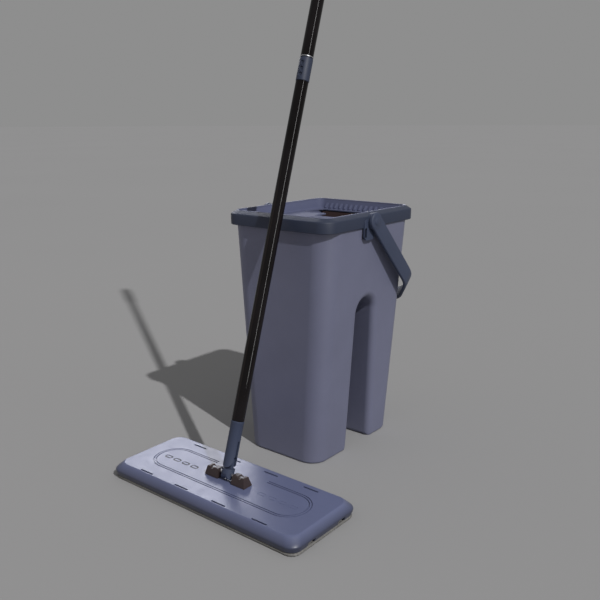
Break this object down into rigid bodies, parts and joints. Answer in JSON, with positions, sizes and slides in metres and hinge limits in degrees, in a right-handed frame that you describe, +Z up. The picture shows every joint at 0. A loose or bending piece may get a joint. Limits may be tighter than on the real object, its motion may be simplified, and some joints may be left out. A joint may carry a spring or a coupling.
{
  "type": "flat mop and bucket with wringer",
  "caption": "Flat mop with a jointed pole, beside a tall two-chamber bucket whose top frame wrings and scrubs the mop head; swinging bail handle.",
  "frame": {"origin": "middle of the whole set's bounding box, on the floor it stands on", "axes": "+Z up; +X along the mop head's long side; +Y from the mop towards the bucket"},
  "size_m": [0.334, 0.4334, 1.1274],
  "materials": {
    "tub_plastic": "satin moulded polypropylene, mauve grey",
    "frame_plastic": "satin moulded polypropylene, slate blue",
    "cover_plastic": "semi-gloss moulded cover, lavender slate",
    "dark_plastic": "dark brown-grey moulded plastic",
    "wringer_rubber": "soft dark red-brown rubber",
    "steel": "plain steel wire and pins",
    "black_tube": "glossy black lacquered steel tube",
    "microfibre": "looped warm-grey microfibre",
    "hook_tape": "black hook tape"
  },
  "bodies": {
    "bucket": {"bucket_tub": "tub_plastic", "top_frame": "frame_plastic", "bail_pin_left": "frame_plastic", "bail_pin_right": "frame_plastic", "squeegee_hinge_pin": "steel", "dry_lip": "wringer_rubber", "scrub_plate": "dark_plastic", "wash_lip_left": "wringer_rubber", "wash_lip_right": "wringer_rubber"},
    "bail": {"bail_handle": "frame_plastic"},
    "squeegee": {"squeegee_flap": "dark_plastic", "squeegee_lip": "wringer_rubber", "squeegee_spring_left": "steel", "squeegee_spring_right": "steel"},
    "head": {"mop_pad": "microfibre", "hook_strip_front": "hook_tape", "hook_strip_back": "hook_tape", "head_base": "frame_plastic", "head_cover": "cover_plastic", "bracket_left": "dark_plastic", "bracket_right": "dark_plastic", "bracket_screw_left": "steel", "bracket_screw_right": "steel", "pitch_pin": "steel"},
    "knuckle": {"knuckle": "frame_plastic"},
    "pole": {"roll_pin": "steel", "pole_socket": "frame_plastic", "lower_tube": "black_tube", "collar": "frame_plastic", "collar_ring": "steel", "upper_tube": "black_tube", "grip_sleeve": "frame_plastic", "end_cap": "frame_plastic"}
  },
  "joints": [
    {"name": "bail_swing", "type": "hinge", "parent": "bucket", "child": "bail", "pos_m": [-0.0223, 0.07632, 0.3495], "axis": [1, 0, 0], "range_deg": [0, 145]},
    {"name": "squeegee_flap_hinge", "type": "hinge", "parent": "bucket", "child": "squeegee", "pos_m": [-0.0223, 0.17732, 0.333], "axis": [1, 0, 0], "range_deg": [0, 22], "stiffness_Nm_per_rad": 0.4, "springref_deg": -20.05},
    {"name": "mop_lift", "type": "slide", "parent": "bucket", "child": "head", "axis": [0, 0, 1], "range_m": [0, 0.5]},
    {"name": "pole_pitch", "type": "hinge", "parent": "head", "child": "knuckle", "pos_m": [0, -0.15118, 0.0312], "axis": [1, 0, 0], "range_deg": [0, 105]},
    {"name": "pole_roll", "type": "hinge", "parent": "knuckle", "child": "pole", "pos_m": [0, -0.14628, 0.04664], "axis": [0, 0.9532, -0.3024], "range_deg": [-90, 90]}
  ]
}
